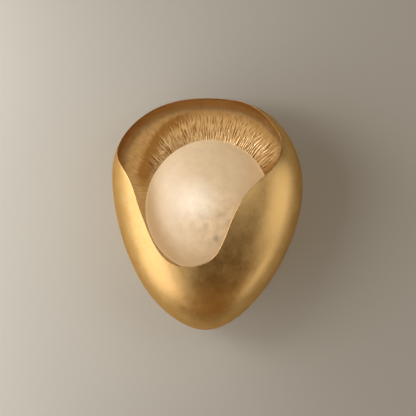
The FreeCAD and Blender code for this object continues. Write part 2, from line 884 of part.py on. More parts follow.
def make_socket():
    """The ceramic lamp socket: a flange with two screw holes and a tower with two pin wells."""
    low = size("bridge_top")
    body = new_body("socket")
    flange = sketch_in(body, "XY_Plane", "socket_flange_outline", low)
    rectangle(flange, Size(0), Size(0), size("socket_half") * 2, size("socket_depth"))
    pad(body, flange, size("socket_flange"))
    tower = sketch_in(body, "XY_Plane", "socket_tower_outline", low)
    deep = size("socket_depth") - size("tower_inset") * 2
    rectangle(tower, Size(0), Size(0), size("tower_half") * 2, deep)
    raised = pad(body, tower, size("tower_height"))
    top = low + size("tower_height")
    middle = (low + size("socket_flange")).value
    round_edges(body, raised, size("socket_round"), lambda edge:
                edge.BoundBox.ZMin > middle - TOUCH and edge.BoundBox.XLength < TOUCH
                and edge.BoundBox.YLength < TOUCH)
    wells = sketch_in(body, "XY_Plane", "socket_wells", top)
    for side in (-1, 1):
        place = size("pin_pitch") / 2 * side
        rectangle(wells, place, Size(0), size("pin_slot_wide"), size("pin_slot_long"))
    pocket(body, wells, size("pin_slot_deep"))
    holes = sketch_in(body, "XY_Plane", "socket_screw_holes", low)
    for side in (-1, 1):
        circle(holes, size("socket_screw_place") * side, Size(0), size("small_shank") + size("fit"))
    pocket(body, holes, size("socket_flange"), backwards=True)
    return keep(body, "lamp_socket")


def make_contacts():
    """The two spring contacts on the outer walls of the pin wells."""
    well_top = size("bridge_top") + size("tower_height")
    low = well_top - size("pin_slot_deep")
    plates = []
    for side in (-1, 1):
        outer = (size("pin_pitch") / 2 + size("pin_slot_wide") / 2) * side
        inner = outer - size("contact_wall") * side
        near, far = (outer, inner) if side < 0 else (inner, outer)
        plates.append(block(
            f"contact_{'left' if side < 0 else 'right'}",
            (near, -size("pin_slot_long") / 2, low),
            (far, size("pin_slot_long") / 2, low + size("contact_length")),
        ))
    return keep(group("contact_group", plates), "socket_contacts")


def make_reflector():
    """The enamelled disc that throws the light forward, on the socket's flange."""
    low = size("bridge_top") + size("socket_flange")
    top = low + size("reflector_wall")
    disc = rod("reflector_disc", size("reflector_radius"), low, top)
    holes = [rod("reflector_opening", size("reflector_hole"), low, top)]
    for side in (-1, 1):
        name = f"reflector_hole_{'left' if side < 0 else 'right'}"
        place = size("socket_screw_place") * side
        holes.append(rod(name, size("small_shank") + size("fit"), low, top, place, Size(0)))
    return keep(cut("reflector_piece", disc, fuse("reflector_holes", holes)), "reflector")


def make_socket_screws():
    """The two screws that hold the reflector and the socket on the bridge."""
    seat = size("bridge_top") + size("socket_flange") + size("reflector_wall")
    tip = size("bridge_top") - size("bridge_wall") - size("screw_end")
    screws = [
        screw(f"socket_screw_{number}", size("small_shank"), size("small_head"),
              size("small_head_height"), seat, tip, size("socket_screw_place") * side, Size(0))
        for number, side in enumerate((-1, 1))
    ]
    return keep(group("socket_screw_group", screws), "socket_screws")


# Bulb


def bulb_seat():
    return size("bridge_top") + size("tower_height") + size("free_gap")


def make_bulb_base():
    body = new_body("bulb_base")
    sketch = sketch_in(body, "XZ_Plane", "bulb_base_profile")
    low = bulb_seat()
    top = low + size("base_height")
    narrow = size("core_radius") + size("base_neck_wall")
    edge = size("base_edge")
    polygon(sketch, [
        (Size(0), low), (size("base_radius") - edge, low), (size("base_radius"), low + edge),
        (size("base_radius"), top - size("base_shoulder")), (narrow, top), (Size(0), top),
    ])
    revolve(body, sketch)
    return keep(body, "bulb_base")


def make_bulb_pins():
    """The two flat wire pins under the base."""
    top = bulb_seat()
    pins = []
    for side in (-1, 1):
        middle = size("pin_pitch") / 2 * side
        half, wide = size("pin_thick") / 2, size("pin_wide") / 2
        pins.append(block(
            f"pin_{'left' if side < 0 else 'right'}",
            (middle - half, -wide, top - size("pin_length")), (middle + half, wide, top),
        ))
    return keep(group("pin_group", pins), "bulb_pins")


def make_bulb_core():
    """The six-sided ceramic post that carries the light-emitting strips, with a cap on its end."""
    low = bulb_seat() + size("base_height")
    post = doc.addObject("Part::Prism", "core_post")
    post.Polygon = 6
    bind(post, "Circumradius", size("core_radius"))
    bind(post, "Height", size("core_length"))
    bind(post, "Placement.Base.z", low)
    top = low + size("core_length")
    cap = rod("core_cap", size("cap_radius"), top - size("overcut"), top + size("cap_height"))
    return keep(fuse("core_piece", [post, cap]), "bulb_core")


def make_bulb_envelope():
    """The clear cap over the post: a tube with a round end, sleeved on the base."""
    low = bulb_seat() + size("base_height") - size("envelope_sleeve")
    outer = size("envelope_radius")
    inner = outer - size("envelope_wall")
    shoulder = low + size("envelope_length")
    tube = fuse("envelope_outside", [
        rod("envelope_tube", outer, low, shoulder), ball("envelope_dome", outer, shoulder)])
    hollow = fuse("envelope_inside", [
        rod("envelope_bore", inner, low, shoulder), ball("envelope_cavity", inner, shoulder)])
    return keep(cut("envelope_piece", tube, hollow), "bulb_envelope")


def ball(name, radius, level):
    item = doc.addObject("Part::Sphere", name)
    bind(item, "Radius", radius)
    bind(item, "Placement.Base.z", level)
    return item


# Wall side


def make_bracket():
    """The bent steel strap that screws to the wall box, with a tapped ear at each end."""
    wall = size("strap_wall")
    half = size("strap_half")
    body = new_body("bracket")
    sketch = sketch_in(body, "XZ_Plane", "strap_profile")
    polygon(sketch, [
        (-half, Size(0)), (half, Size(0)), (half, size("ear_height")), (half - wall, size("ear_height")),
        (half - wall, wall), (wall - half, wall), (wall - half, size("ear_height")),
        (-half, size("ear_height")),
    ])
    strip = pad(body, sketch, size("strap_width"), both_ways=True)
    round_edges(body, strip, size("strap_bend"), lambda edge:
                edge.BoundBox.XLength < TOUCH and edge.BoundBox.ZLength < TOUCH
                and edge.BoundBox.ZMax < TOUCH)
    trim = sketch_in(body, "YZ_Plane", "ear_trim")
    for side in (-1, 1):
        outer = size("strap_width") / 2 * side
        inner = size("ear_width") / 2 * side
        near, far = (outer * 2, inner) if side < 0 else (inner, outer * 2)
        base = size("strap_bend") + wall
        tall = size("ear_height") + size("overcut")
        polygon(trim, [(near, base), (far, base), (far, tall), (near, tall)])
    pocket(body, trim, size("through"), both_ways=True)
    holes = sketch_in(body, "XY_Plane", "strap_holes")
    slot(holes, size("box_screw_near"), size("box_screw_far"), size("box_screw_slot"))
    slot(holes, -size("box_screw_far"), -size("box_screw_near"), size("box_screw_slot"))
    circle(holes, Size(0), Size(0), size("cable_hole"))
    circle(holes, -size("ground_place"), Size(0), size("big_shank") + size("fit"))
    pocket(body, holes, wall, backwards=True)
    inside = half - wall
    bore = size("big_shank") + size("fit")
    collars, threads = [], []
    for name, side in (("left", -1), ("right", 1)):
        reach = inside - size("ear_collar_reach")
        collars.append(sideways_rod(f"ear_collar_{name}", size("ear_collar"), reach, inside, side))
        low, high = reach - size("overcut"), half + size("overcut")
        threads.append(sideways_rod(f"ear_thread_{name}", bore, low, high, side))
    solid = fuse("strap_and_collars", [body] + collars)
    return keep(cut("bracket_piece", solid, fuse("ear_threads", threads)), "wall_bracket")


def sideways_rod(name, radius, near, far, side):
    """A round bar along X at the thumb screws' height, on the right (1) or the left (-1)."""
    item = doc.addObject("Part::Cylinder", name)
    bind(item, "Radius", radius)
    bind(item, "Height", as_size(far) - near)
    bind(item, "Placement.Base.x", as_size(near) * side)
    bind(item, "Placement.Base.z", size("thumb_height"))
    item.Placement.Rotation = FreeCAD.Rotation(FreeCAD.Vector(0, 1, 0), 90 * side)
    return item


def make_ground_fixing():
    """The earth screw on the strap with its washer."""
    wall = size("strap_wall")
    place = -size("ground_place")
    top = wall + size("washer_wall")
    ring = rod("ground_disc", size("washer_radius"), wall, top, place, Size(0))
    hole = rod("ground_disc_hole", size("big_shank"), wall, top, place, Size(0))
    keep(cut("ground_washer_piece", ring, hole), "ground_washer")
    piece = screw("ground_screw_piece", size("big_shank"), size("big_head"), size("big_head_height"),
                  top, Size(0), place, Size(0))
    keep(piece, "ground_screw")


def make_thumb_screw(name, side):
    """A fluted thumb screw through the pan's rim into an ear of the strap."""
    seat = size("pan_radius") + size("free_gap")
    end = seat + size("thumb_length")
    tip = size("strap_half") - size("strap_wall") - size("ear_collar_reach") - size("screw_end")
    head = sideways_rod(f"{name}_head", size("thumb_radius"), seat, end, side)
    shank = sideways_rod(f"{name}_shank", size("big_shank") - size("fit"), tip, seat, side)
    flutes = []
    for number in range(SIZES["thumb_flutes"]):
        across, up = turned(size("thumb_radius"), 360 / SIZES["thumb_flutes"] * number)
        flute = sideways_rod(
            f"{name}_flute_{number}", size("flute_radius"), seat + size("flute_start"),
            end + size("overcut"), side,
        )
        bind(flute, "Placement.Base.y", across)
        bind(flute, "Placement.Base.z", size("thumb_height") + up)
        flutes.append(flute)
    bar = fuse(f"{name}_bar", [head, shank])
    return keep(cut(f"{name}_piece", bar, fuse(f"{name}_flutes", flutes)), name)


def check_and_export():
    """Stop on a failed object or a bad shape, then write one file for each piece."""
    doc.recompute()
    failed = [item.Name for item in doc.Objects if {"Invalid", "Error"} & set(item.State)]
    if failed:
        raise RuntimeError(f"these objects failed: {failed}")
    for item in nodes:
        if item.Shape.isNull() or not item.Shape.isValid() or not item.Shape.Solids:
            raise RuntimeError(f"{item.Label} has no valid shape")
    os.makedirs("parts", exist_ok=True)
    for item in nodes:
        item.Shape.exportStep(os.path.join("parts", f"{item.Label}.step"))
        box = item.Shape.BoundBox
        print(f"{item.Label}: {len(item.Shape.Solids)} solids, {item.Shape.Volume:.0f} mm3,"
              f" {box.XLength:.1f} x {box.YLength:.1f} x {box.ZLength:.1f}")


fill_sheet()
make_bracket()
make_ground_fixing()
make_thumb_screw("side_screw_left", -1)
make_thumb_screw("side_screw_right", 1)
make_pan()
make_bush()
make_terminal_block()
make_terminal_screws()
make_shell()
make_seat()
make_fixings()
make_bridge()
make_bridge_fixings()
make_socket()
make_contacts()
make_reflector()
make_socket_screws()
make_globe()
make_collar()
make_cushion()
make_bulb_base()
make_bulb_pins()
make_bulb_core()
make_bulb_envelope()
check_and_export()
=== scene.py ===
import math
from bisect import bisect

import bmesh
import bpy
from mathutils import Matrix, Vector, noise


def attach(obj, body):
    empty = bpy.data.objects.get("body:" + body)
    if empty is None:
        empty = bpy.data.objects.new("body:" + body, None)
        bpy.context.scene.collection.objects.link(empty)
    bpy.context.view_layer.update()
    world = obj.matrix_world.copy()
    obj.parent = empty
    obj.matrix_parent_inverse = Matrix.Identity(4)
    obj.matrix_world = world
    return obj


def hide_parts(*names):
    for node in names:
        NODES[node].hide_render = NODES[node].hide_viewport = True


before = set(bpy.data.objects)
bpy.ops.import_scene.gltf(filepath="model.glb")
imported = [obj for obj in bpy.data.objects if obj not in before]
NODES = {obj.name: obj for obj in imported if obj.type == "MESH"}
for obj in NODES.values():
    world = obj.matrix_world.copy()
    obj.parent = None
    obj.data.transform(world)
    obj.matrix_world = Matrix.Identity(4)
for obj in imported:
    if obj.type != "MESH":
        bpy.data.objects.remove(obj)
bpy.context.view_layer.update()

# Looks of the shell wall sconce: a gilded, folded shell round a lit alabaster globe.
# Lengths of the shell, the globe and the patterns are in millimetres, which MM turns to metres, and
# those of the wall, the lamps and the camera are in metres. Clock angles run from twelve, as seen from
# the room. Depths run from the wall into the room, which lies towards -Y.

MM = 0.001
TURN = 2 * math.pi

# Shell. Its wall swells from the floor to the widest section as the bowl, and closes from there to the
# front as the dome.

# Reach of the outline's control points from the lamp axis, one for each hour of the clock
REACHES = (133, 141, 131, 116, 112, 129, 167, 137, 115, 114, 138, 141)
SHELL_WALL = 2.4
FLOOR_DEPTH = 18
BOWL_HEIGHT = 50
DOME_HEIGHT = 80
WIDEST_DEPTH = FLOOR_DEPTH + BOWL_HEIGHT
FRONT_DEPTH = WIDEST_DEPTH + DOME_HEIGHT
FLOOR_SHARE = 0.52  # the floor's reach as a share of the outline's
BOWL_POWER = 2.2  # powers of the two curves, where 2 would be a plain ellipse
DOME_POWER = 2.5
BUSH_HOLE = 8.1  # radius

# Mouth of the shell

# Control points of its edge: clock angle, reach from the lamp axis and depth
OPENING = (
    (103, 31, 147), (162, 52, 145), (180, 71, 143), (215, 89, 132),
    (257, 77, 133), (272, 84, 132), (292, 98, 125), (298, 127, 94),
    (312, 136, 72), (331, 137, 66), (350, 125, 66), (12, 141, 67),
    (29, 118, 90), (48, 117, 101), (60, 95, 127), (66, 54, 144),
)
LEAN_LOW = 0.25  # how much the cut leans outwards per depth, in front and at the widest section
LEAN_HIGH = 1.4
LIP_ROUND = 0.8
LIP_THINNED = 1.4  # how much thinner the wall is at the lip
LIP_TAPER = 0.16  # quarter turns of the wall over which it thins
LIP_REACH = 0.12  # quarter turns that the rounding reaches back at most, where it runs askew

# Mesh of the shell

OUTLINE_SAMPLES = 200  # between two control points of the outline
FLOOR_ROWS = 3  # rows of faces along the profile
OUTER_ROWS = 20
LIP_ROWS = 6
INNER_ROWS = 46
INNER_CROWDING = 1.3  # above 1, the inner rows lie closer at the floor
SPAN_COLUMNS = 68  # columns of faces between two control points of the mouth
RIM_SPAN = (0.4, 1.98)  # quarter turns of the wall between which the rim is searched for
RIM_HALVINGS = 32
SLOPE_STEP = 0.01  # quarter turns over which a slope is taken
GRID_HALF = 0.5  # half the side of the grid that the shell is rolled up from
WELD = 1e-7  # metres within which points are one

# Ridges carved inside the shell. The size of a noise is its marks' width round the shell, at CARVED_REACH
# from the lamp axis, and their length up the wall.

CARVED_REACH = 100
RIDGE_COUNT = 180  # all the way round
RIDGE_HEIGHT = 0.4
WAVER = 6  # how far the ridges stray sideways, in radians of their own wave
WAVER_SIZE = (7, 16)
BREAK_MEAN = 0.6  # strength of the ridges, which a noise swings to break them off here and there
BREAK_SWING = 1.3
BREAK_SIZE = (3.5, 12)

# Finer strokes between the ridges and beyond them

STRIA_SIZE = (1.3, 8)
STRIA_HEIGHT = 0.3
STRIA_GAIN = 2  # brings their noise to about one
STRIA_BEYOND = 0.35  # share of their strength beyond the ridges

# Where the carving is, by clock angles in degrees and by quarter turns of the wall. Two values are the
# start and the end of a soft step.

RIDGE_LEFT = (-66, -50)
RIDGE_RIGHT = (48, 62)
RIDGE_TOP = (0.1, 0.36)  # how far up the ridges reach, on the left and further round
RIDGE_RISE = (-58, -8)  # clock angles over which that changes
RIDGE_FADE = 0.2
FLOOR_EDGE = (0, 0.06)
HATCH_FADE = (0.5, 0.8)  # where the finer strokes end towards the rim

# Bare leaf, as positive shares, and glaze and painted shade over it, as shares to take away

CREST_BARE = 0.7
STRIA_BARE = 0.5
FIELD_BARE = 0.45  # all over the ridges' field
RIM_BARE = 0.9
RIM_BAND = (0.5, 0.75)
PAINTED_RIM_SHADOW = 0.75  # painted shadow of the rim, in the hollow above the ridges on the left
RIM_SHADOW_START = (0, 0.1)  # above the ridges' top
RIM_SHADOW_END = (0.16, 0.28)
RIM_SHADOW_LEFT = (-80, -62)
RIM_SHADOW_RIGHT = (-24, -2)
PAINTED_CORNER_SHADE = 0.6  # painted shade right of the ridges, in the corner between globe and lip

# Gold leaf

LEAF_EDGE = "#F3D299"  # tone at grazing angles
LEAF_CLOUD = 14  # width of the slow changes of tone, from leaf to leaf
LEAF_DENT = 9  # width of the dents in the primed shell
FLAKE_SHARE = 0.35  # height of the crumpled grain against the dents
TONE_SPAN = (0.7, 1.3)  # noise values between which tone and roughness go from end to end
GLAZE_AND_SHADE_SPAN = (0.9, -0.6)  # shares of bare leaf at which the glaze and the painted shade are nothing and full

# Alabaster, in places across and up on the globe's front, each with its radius

# The glow's heart sits left of the lamp axis, where the key lamp falls: partly the lamp's light through
# the stone and partly a painted highlight
GLOW_HEART_AND_HIGHLIGHT = ((-15, 5), 36)
CLOUDY_SIDE = ((9, -15), 58)
CLOUD_SIZE = 8
CLOUD_STRENGTH = (0.1, 0.75)  # away from the cloudy side and in its middle
VEIL_SIZE = 30
VEIL_STRENGTH = (0.93, 1.07)
INCLUSION = ((9.5, -39), 5.5)
INCLUSION_DARK = -0.3
FLANK_DEPTHS = (102, 62)  # depths between which the glow turns to the flank's tone

# Fittings: how much darker a finish has its patches, and how much smoother or rougher

PATCH_SHADE = 0.88
SMOOTHER = 0.05
ROUGHER = 0.07

# Wall, room, lamps and camera

WALL_HALF = 5
WALL_CLEAR = 0.02
ROOM_LOW = "#917349"
ROOM_HIGH = "#463320"
ROOM_FADE = (-0.95, -0.4)  # heights of a unit direction between which low goes over to high
MIDDLE = (0, -0.07, 0)
LAMP_DISTANCE = 1.2
LEFT_LAMPS = (-0.56, -0.24)  # place of both left lamps, across and out from the wall
LEFT_AIMS = (-0.22, 0)  # the same of the points that they aim at
WHITE = "#FFFFFF"
DAYLIGHT = "#F2F3FA"
LENS = 174.65
SENSOR_WIDTH = 36
CAMERA_DISTANCE = 2.5
CAMERA_UP = -0.003


# Curves and steps


def between(low, high, share):
    """The value at a share of the way from one value to another."""
    return low + (high - low) * share


def smooth_step(value, low, high):
    """A soft step from 0 to 1 between two values."""
    share = min(1, max(0, (value - low) / (high - low)))
    return share * share * (3 - 2 * share)


def window(value, start, end):
    """A soft rise over the start's two values and a soft fall over the end's."""
    return smooth_step(value, *start) * (1 - smooth_step(value, *end))


def clock(reach, angle):
    """Across and up of a point at a reach and a clock angle in radians."""
    return Vector((reach * math.sin(angle), reach * math.cos(angle)))


def spline_point(poles, turn):
    """Point of a closed uniform cubic B-spline; turn counts its control points."""
    first, along = divmod(turn, 1)
    rest = 1 - along
    weights = (
        rest ** 3, 3 * along ** 3 - 6 * along ** 2 + 4, 3 * rest ** 3 - 6 * rest ** 2 + 4, along ** 3,
    )
    point = Vector((0, 0))
    for step, weight in enumerate(weights):
        point += poles[(int(first) + step) % len(poles)] * weight
    return point / 6


# Form of the shell


def outline(inset):
    """A function that gives the reach of a skin's widest section at a clock angle."""
    count = len(REACHES)
    poles = [clock(reach - inset, TURN * hour / count) for hour, reach in enumerate(REACHES)]
    samples = [spline_point(poles, step / OUTLINE_SAMPLES) for step in range(count * OUTLINE_SAMPLES)]
    points = sorted((math.atan2(point.x, point.y) % TURN, point.length) for point in samples)
    angles = [angle for angle, _ in points]

    def reach_at(angle):
        after = bisect(angles, angle % TURN) % len(points)
        (start, near), (end, far) = points[after - 1], points[after]
        return near + (far - near) * ((angle - start) % TURN) / ((end - start) % TURN)

    return reach_at


REACH_AT = {inset: outline(inset) for inset in (0, SHELL_WALL)}


def wall_section(turn, inset):
    """Share of the outline, and depth: turn is 0 at the floor, 1 at the widest section, 2 in front."""
    if turn < 1:
        angle = TURN / 4 * turn
        share = FLOOR_SHARE + (1 - FLOOR_SHARE) * math.sin(angle) ** (2 / BOWL_POWER)
        return share, WIDEST_DEPTH - (BOWL_HEIGHT - inset) * math.cos(angle) ** (2 / BOWL_POWER)
    angle = TURN / 4 * (turn - 1)
    share = math.cos(angle) ** (2 / DOME_POWER)
    return share, WIDEST_DEPTH + (DOME_HEIGHT - inset) * math.sin(angle) ** (2 / DOME_POWER)


def skin_point(turn, angle, inset, lift=0):
    """A point of a skin of the shell, or one that stands off along its normal."""
    widest = REACH_AT[inset](angle)
    share, depth = wall_section(turn, inset)
    reach = widest * share
    if lift:
        ahead = wall_section(turn + SLOPE_STEP, inset)
        behind = wall_section(turn - SLOPE_STEP if turn > SLOPE_STEP else turn, inset)
        slope = Vector((widest * (ahead[0] - behind[0]), ahead[1] - behind[1])).normalized()
        reach -= slope.y * lift
        depth += slope.x * lift
    across, up = clock(reach, angle)
    return Vector((across, -depth, up)) * MM


def floor_point(angle, inset, along):
    """A point of the floor, from the bush hole to the wall."""
    edge = REACH_AT[inset](angle) * FLOOR_SHARE
    across, up = clock(between(BUSH_HOLE, edge, along), angle)
    return Vector((across, -FLOOR_DEPTH - inset, up)) * MM


# Mouth and lip


def mouth_lines():
    """Start and slope of the line through each control point of the mouth's edge, from the wall out."""
    starts, slopes = [], []
    for angle, reach, depth in OPENING:
        lean = LEAN_LOW + (LEAN_HIGH - LEAN_LOW) * (FRONT_DEPTH - depth) / DOME_HEIGHT
        starts.append(clock(reach - depth * lean, math.radians(angle)))
        slopes.append(clock(lean, math.radians(angle)))
    return starts, slopes


def rim_place(start, slope, inset):
    """Turn and clock angle where a line of the mouth's edge meets a skin of the shell."""
    low, high = RIM_SPAN
    for _ in range(RIM_HALVINGS):
        turn = (low + high) / 2
        share, depth = wall_section(turn, inset)
        point = start + slope * depth
        angle = math.atan2(point.x, point.y)
        if REACH_AT[inset](angle) * share > point.length:
            low = turn
        else:
            high = turn
    return turn, angle


def lip_setback(before, rim, after, inset):
    """How far the lip's rounding reaches back down the wall at a place of the rim, in quarter turns."""
    edge = (skin_point(*after, inset) - skin_point(*before, inset)).normalized()
    down = (skin_point(rim[0] - SLOPE_STEP, rim[1], inset) - skin_point(*rim, inset)) / SLOPE_STEP
    return min(LIP_REACH, LIP_ROUND * MM / down.cross(edge).length)


def thinned(turn, rim_turn):
    """How far the inner skin draws towards the outer one on its way to the lip."""
    return -LIP_THINNED * smooth_step(turn, rim_turn - LIP_TAPER, rim_turn)


def lip_points(foot, edge, inner_edge, inner_foot):
    """Points of a rounded nose from the outer to the inner skin, its two feet included."""
    points = []
    for row in range(LIP_ROWS + 1):
        along = row / LIP_ROWS
        rest = 1 - along
        points.append(
            foot * rest ** 3 + edge * 3 * rest ** 2 * along + inner_edge * 3 * rest * along ** 2
            + inner_foot * along ** 3
        )
    return points


# Carving inside the shell, and shade painted on it


def ring_noise(angle, along, size):
    """Smooth noise round the shell, whose marks have a width across and a length up the wall."""
    width, length = size
    ring = CARVED_REACH / width
    return noise.noise(Vector((ring * math.sin(angle), ring * math.cos(angle), along / length)))


def ridge_field(clockwise, turn, top):
    """Share of their full strength that the ridges have at a place: 1 in their field and 0 outside."""
    return window(clockwise, RIDGE_LEFT, RIDGE_RIGHT) * window(turn, FLOOR_EDGE, (top, top + RIDGE_FADE))


def bare_leaf_and_shade(clockwise, turn, top, field):
    """How bare the leaf is, strokes apart: above 0 where it is rubbed, below 0 where shade is painted in
    brown.
    """
    # Painted shadow of the left rim, in a band above the ridges' top
    rim_shadow_band = window(turn, [top + step for step in RIM_SHADOW_START], [top + step for step in RIM_SHADOW_END])
    painted_shade = PAINTED_RIM_SHADOW * rim_shadow_band * window(clockwise, RIM_SHADOW_LEFT, RIM_SHADOW_RIGHT)
    # Painted shade right of the ridges
    painted_shade += PAINTED_CORNER_SHADE * smooth_step(clockwise, *RIDGE_RIGHT)
    return FIELD_BARE * field + RIM_BARE * smooth_step(turn, *RIM_BAND) - painted_shade


def carving_and_shade(angle, turn):
    """Share of bare leaf, from about -1 under thick glaze in grooves and under painted shade to 1 on a
    crest, and the height in mm.
    """
    along = turn * CARVED_REACH
    clockwise = math.degrees(angle)
    top = between(*RIDGE_TOP, smooth_step(clockwise, *RIDGE_RISE))
    field = ridge_field(clockwise, turn, top)
    drift = WAVER * ring_noise(angle, along, WAVER_SIZE)
    unbroken = min(1, max(0, BREAK_MEAN + BREAK_SWING * ring_noise(angle, along, BREAK_SIZE)))
    ridges = math.sin(RIDGE_COUNT * angle + drift) * unbroken * field
    hatched = between(STRIA_BEYOND, 1, field) * (1 - smooth_step(turn, *HATCH_FADE))
    striae = STRIA_GAIN * ring_noise(angle, along, STRIA_SIZE) * hatched
    bare_and_shade = CREST_BARE * ridges + STRIA_BARE * striae + bare_leaf_and_shade(clockwise, turn, top, field)
    return bare_and_shade, RIDGE_HEIGHT * ridges + STRIA_HEIGHT * striae


# Mesh of the shell


def outer_column(turn, angle, setback):
    """Points of one column under the floor and up the outside, to two setbacks short of the rim."""
    points = [floor_point(angle, 0, row / FLOOR_ROWS) for row in range(FLOOR_ROWS)]
    for row in range(OUTER_ROWS):
        points.append(skin_point((turn - 2 * setback) * row / (OUTER_ROWS - 1), angle, 0))
    return points


def inner_column(turn, angle, setback):
    """Points of one column with their bareness, down the carved inside and in along the floor."""
    points = []
    for row in reversed(range(INNER_ROWS)):
        place = (turn - 2 * setback) * (row / (INNER_ROWS - 1)) ** INNER_CROWDING
        bare_and_shade, height = carving_and_shade(angle, place)
        points.append((skin_point(place, angle, SHELL_WALL, height + thinned(place, turn)), bare_and_shade))
    for row in reversed(range(FLOOR_ROWS)):
        points.append((floor_point(angle, SHELL_WALL, row / FLOOR_ROWS), 0))
    return points


def profile(outer, inner, setback, inner_setback):
    """Points of one column with their bareness: out under the floor, up, over the lip, down and back."""
    turn, angle = outer
    inner_turn, inner_angle = inner
    lip = lip_points(skin_point(turn - setback, angle, 0), skin_point(turn, angle, 0), *(
        skin_point(place, inner_angle, SHELL_WALL, thinned(place, inner_turn))
        for place in (inner_turn, inner_turn - inner_setback)
    ))
    plain = outer_column(turn, angle, setback) + lip
    return [(point, 0) for point in plain] + inner_column(inner_turn, inner_angle, inner_setback)


def shell_profiles():
    """The profiles of all columns, which follow the mouth's edge round the shell."""
    starts, slopes = mouth_lines()
    columns = len(OPENING) * SPAN_COLUMNS
    rims = {0: [], SHELL_WALL: []}
    for column in range(columns):
        start = spline_point(starts, column / SPAN_COLUMNS)
        slope = spline_point(slopes, column / SPAN_COLUMNS)
        for inset, rim in rims.items():
            rim.append(rim_place(start, slope, inset))
    profiles = []
    for column in range(columns):
        setbacks = [
            lip_setback(rim[column - 1], rim[column], rim[(column + 1) % columns], inset)
            for inset, rim in rims.items()
        ]
        profiles.append(profile(rims[0][column], rims[SHELL_WALL][column], *setbacks))
    return profiles


def make_shell(leaf, carved):
    """The folded shell as one closed wall: a grid rolled up both ways, carved leaf on its inside."""
    profiles = shell_profiles()
    columns, rows = len(profiles), len(profiles[0])
    model = bmesh.new()
    bareness_and_shade = model.verts.layers.float.new("carving_and_shade")
    grid = bmesh.ops.create_grid(model, x_segments=columns, y_segments=rows, size=GRID_HALF)
    for corner in grid["verts"]:
        column = round((corner.co.x + GRID_HALF) * columns) % columns
        row = round((corner.co.y + GRID_HALF) * rows) % rows
        corner.co, corner[bareness_and_shade] = profiles[column][row]
    bmesh.ops.remove_doubles(model, verts=model.verts, dist=WELD)
    bmesh.ops.recalc_face_normals(model, faces=model.faces)
    piece = finish_piece("gilded_shell", model, [leaf, carved])
    middle = Vector((0, -WIDEST_DEPTH * MM, 0))
    for face in piece.data.polygons:
        if face.normal.dot(middle - face.center) > 0:
            face.material_index = 1
    return piece


def finish_piece(name, model, materials, smooth=True):
    """An object at the origin made of a bmesh, with its materials."""
    mesh = bpy.data.meshes.new(name)
    model.to_mesh(mesh)
    model.free()
    piece = bpy.data.objects.new(name, mesh)
    bpy.context.scene.collection.objects.link(piece)
    for item in materials:
        mesh.materials.append(item)
    for face in mesh.polygons:
        face.use_smooth = smooth
    return piece


# Tools for materials


def colour(code):
    """Linear colour of an sRGB hex value."""
    channels = [int(code[start:start + 2], 16) / 255 for start in (1, 3, 5)]
    linear = [c / 12.92 if c <= 0.04045 else ((c + 0.055) / 1.055) ** 2.4 for c in channels]
    return linear + [1.0]


def add(tree, kind, inputs=None, **settings):
    """Add a node, set its properties, and fill its inputs with values or with other nodes' outputs."""
    made = tree.nodes.new("ShaderNode" + kind)
    for name, value in settings.items():
        setattr(made, name, value)
    for name, value in (inputs or {}).items():
        if isinstance(value, bpy.types.NodeSocket):
            tree.links.new(value, made.inputs[name])
        else:
            made.inputs[name].default_value = value
    return made


def new_material(name, inputs):
    """A material with a Principled shader whose inputs are set."""
    made = bpy.data.materials.new(name)
    made.use_nodes = True
    shader = made.node_tree.nodes["Principled BSDF"]
    for key, value in inputs.items():
        shader.inputs[key].default_value = value
    return made, made.node_tree, shader


def scale_for(millimetres):
    """Scale of a noise whose marks are about this wide."""
    return 1 / (millimetres * MM)


# Gold leaf


def gold_leaf(name, tones, roughness, grain, grain_size, glaze_and_shade=None):
    """Gold leaf laid by hand over a primed shell, under a thin lacquer.

    It gives the eye a warm satin metal whose tone changes slowly from leaf to leaf, with a fine crumpled
    grain. The real grain is finer than a pixel, so it is drawn as coarse as it needs to show. A glaze
    darkens the grooves of carved work and leaves its crests bright, and the same brown is laid on as
    painted
    shade: the rim's shadow in the hollow above the ridges on the left, and shade right of the ridges.
    """
    made, tree, shader = new_material(name, {
        "Metallic": 1.0, "Specular Tint": colour(LEAF_EDGE), "Coat Weight": 0.3, "Coat Roughness": 0.3,
    })
    place = add(tree, "TexCoord").outputs["Object"]
    clouds, flakes = (
        add(tree, "TexNoise", {"Vector": place, "Scale": scale_for(size), "Detail": 4.0, "Roughness": 0.6})
        for size in (LEAF_CLOUD, grain_size)
    )
    mixed = add(tree, "Math", {0: clouds.outputs[0], 1: flakes.outputs[0]}, operation="ADD")
    span = {"Value": mixed.outputs[0], "From Min": TONE_SPAN[0], "From Max": TONE_SPAN[1]}
    share = add(tree, "MapRange", span)
    tone = add(tree, "Mix", {
        0: share.outputs[0], 6: colour(tones[0]), 7: colour(tones[1]),
    }, data_type="RGBA")
    if glaze_and_shade:
        tone = glazed_and_shaded(tree, tone, glaze_and_shade)
    tree.links.new(tone.outputs[2], shader.inputs["Base Color"])
    rough = add(tree, "MapRange", {**span, "To Min": roughness[0], "To Max": roughness[1]})
    tree.links.new(rough.outputs[0], shader.inputs["Roughness"])
    dents = add(tree, "TexNoise", {"Vector": place, "Scale": scale_for(LEAF_DENT), "Detail": 2.0})
    height = add(tree, "Math", {
        0: flakes.outputs[0], 1: FLAKE_SHARE, 2: dents.outputs[0],
    }, operation="MULTIPLY_ADD")
    bump = add(tree, "Bump", {"Height": height.outputs[0], "Distance": grain * MM, "Strength": 1.0})
    tree.links.new(bump.outputs[0], shader.inputs["Normal"])
    return made


